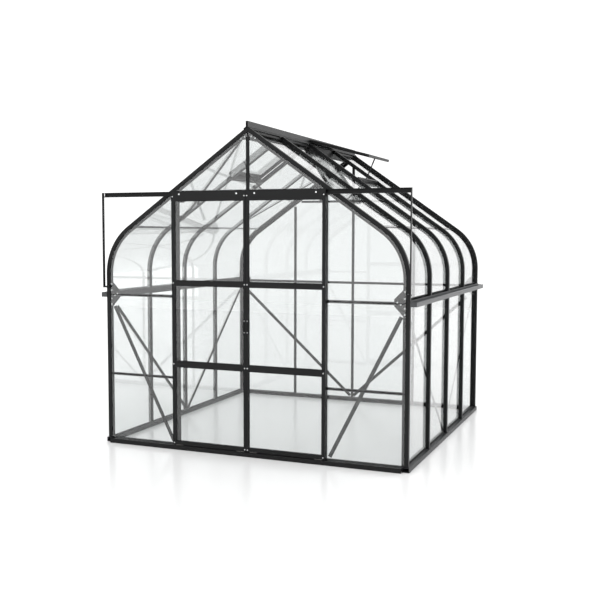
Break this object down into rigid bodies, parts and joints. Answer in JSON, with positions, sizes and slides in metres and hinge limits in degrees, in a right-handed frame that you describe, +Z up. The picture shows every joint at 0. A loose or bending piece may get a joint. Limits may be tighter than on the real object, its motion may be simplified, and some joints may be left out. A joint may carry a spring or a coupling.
{
  "type": "walk-in greenhouse",
  "caption": "Walk-in aluminium glasshouse with curved eaves, a pair of sliding gable doors, braced glazing bars, gutters and hinged roof vents.",
  "frame": {"origin": "on the ground at the centre of the plan, which is the centre of the anchor holes in the side cills", "axes": "+X across the width, +Y from the door gable to the rear gable, +Z up"},
  "size_m": [2.67, 2.592, 2.5798],
  "materials": {
    "glass": "clear horticultural glass",
    "black_powder_coat": "black powder coat, satin",
    "gutter_coat": "grey powder coat, satin",
    "cill_coat": "anthracite powder coat, satin",
    "zinc_bolt": "bright zinc plate",
    "nylon": "natural nylon",
    "joint_strip": "satin",
    "black_plastic": "fine textured",
    "stay_coat": "powder coat, satin"
  },
  "bodies": {
    "frame": {"front_cill": "cill_coat", "rear_cill": "cill_coat", "side_cills": "cill_coat", "door_threshold": "black_powder_coat", "corner_posts": "black_powder_coat", "gable_rafters": "black_powder_coat", "wall_bars": "black_powder_coat", "left_roof_bars": "black_powder_coat", "right_roof_bars": "black_powder_coat", "bar_cappings": "black_powder_coat", "ridge_bar": "black_powder_coat", "ridge_cappings": "black_powder_coat", "eaves_beams": "black_powder_coat", "gutters": "gutter_coat", "gutter_ends": "gutter_coat", "door_posts": "black_powder_coat", "gable_centre_bars": "black_powder_coat", "front_transoms": "black_powder_coat", "header_beam": "black_powder_coat", "door_track": "black_powder_coat", "track_supports": "black_powder_coat", "rear_uprights": "black_powder_coat", "rear_transoms": "black_powder_coat", "gable_braces": "black_powder_coat", "side_braces": "black_powder_coat", "roof_braces": "black_powder_coat", "eaves_gussets": "black_powder_coat", "apex_gussets": "black_powder_coat", "header_gussets": "black_powder_coat", "frame_bolts": "zinc_bolt", "vent_sills": "black_powder_coat", "stay_pegs": "stay_coat", "pane_joint_strips": "joint_strip", "wall_panes": "glass", "curved_panes": "glass", "roof_panes": "glass", "front_panes": "glass", "rear_panes": "glass"},
    "left_door": {"left_door_stiles": "black_powder_coat", "left_door_rails": "black_powder_coat", "left_door_panes": "glass", "left_door_hangers": "zinc_bolt", "left_door_glides": "nylon", "left_door_handle": "black_plastic"},
    "left_roller_inner": {"left_roller_inner": "nylon"},
    "left_roller_outer": {"left_roller_outer": "nylon"},
    "left_vent": {"left_vent_frame": "black_powder_coat", "left_vent_pane": "glass"},
    "left_stay": {"left_vent_stay": "stay_coat"},
    "right_door": {"right_door_stiles": "black_powder_coat", "right_door_rails": "black_powder_coat", "right_door_panes": "glass", "right_door_hangers": "zinc_bolt", "right_door_glides": "nylon", "right_door_handle": "black_plastic"},
    "right_roller_inner": {"right_roller_inner": "nylon"},
    "right_roller_outer": {"right_roller_outer": "nylon"},
    "right_vent": {"right_vent_frame": "black_powder_coat", "right_vent_pane": "glass"},
    "right_stay": {"right_vent_stay": "stay_coat"}
  },
  "joints": [
    {"name": "left_door_slide", "type": "slide", "parent": "frame", "child": "left_door", "axis": [-1, 0, 0], "range_m": [0, 0.6]},
    {"name": "left_roller_inner_spin", "type": "hinge", "parent": "left_door", "child": "left_roller_inner", "pos_m": [-0.07575, -1.2735, 2.03361], "axis": [0, -1, 0], "range_deg": [0, 3150]},
    {"name": "left_roller_outer_spin", "type": "hinge", "parent": "left_door", "child": "left_roller_outer", "pos_m": [-0.57575, -1.2735, 2.03361], "axis": [0, -1, 0], "range_deg": [0, 3150]},
    {"name": "left_vent_hinge", "type": "hinge", "parent": "frame", "child": "left_vent", "pos_m": [-0.02, 0, 2.5575], "axis": [0, 1, 0], "range_deg": [0, 45]},
    {"name": "left_stay_pivot", "type": "hinge", "parent": "left_vent", "child": "left_stay", "pos_m": [-0.44268, -0.31, 2.24933], "axis": [0, -1, 0], "range_deg": [0, 70]},
    {"name": "right_door_slide", "type": "slide", "parent": "frame", "child": "right_door", "axis": [1, 0, 0], "range_m": [0, 0.6]},
    {"name": "right_roller_inner_spin", "type": "hinge", "parent": "right_door", "child": "right_roller_inner", "pos_m": [0.07575, -1.2735, 2.03361], "axis": [0, 1, 0], "range_deg": [0, 3150]},
    {"name": "right_roller_outer_spin", "type": "hinge", "parent": "right_door", "child": "right_roller_outer", "pos_m": [0.57575, -1.2735, 2.03361], "axis": [0, 1, 0], "range_deg": [0, 3150]},
    {"name": "right_vent_hinge", "type": "hinge", "parent": "frame", "child": "right_vent", "pos_m": [0.02, 0, 2.5575], "axis": [0, -1, 0], "range_deg": [-20, 25]},
    {"name": "right_stay_pivot", "type": "hinge", "parent": "right_vent", "child": "right_stay", "pos_m": [0.52259, 0.31, 2.41248], "axis": [0, 1, 0], "range_deg": [0, 70]}
  ],
  "couplings": [
    {"joint": "left_roller_inner_spin", "follows": "left_door_slide", "rad_per_m": 90.909},
    {"joint": "left_roller_outer_spin", "follows": "left_door_slide", "rad_per_m": 90.909},
    {"joint": "right_roller_inner_spin", "follows": "right_door_slide", "rad_per_m": 90.909},
    {"joint": "right_roller_outer_spin", "follows": "right_door_slide", "rad_per_m": 90.909}
  ]
}
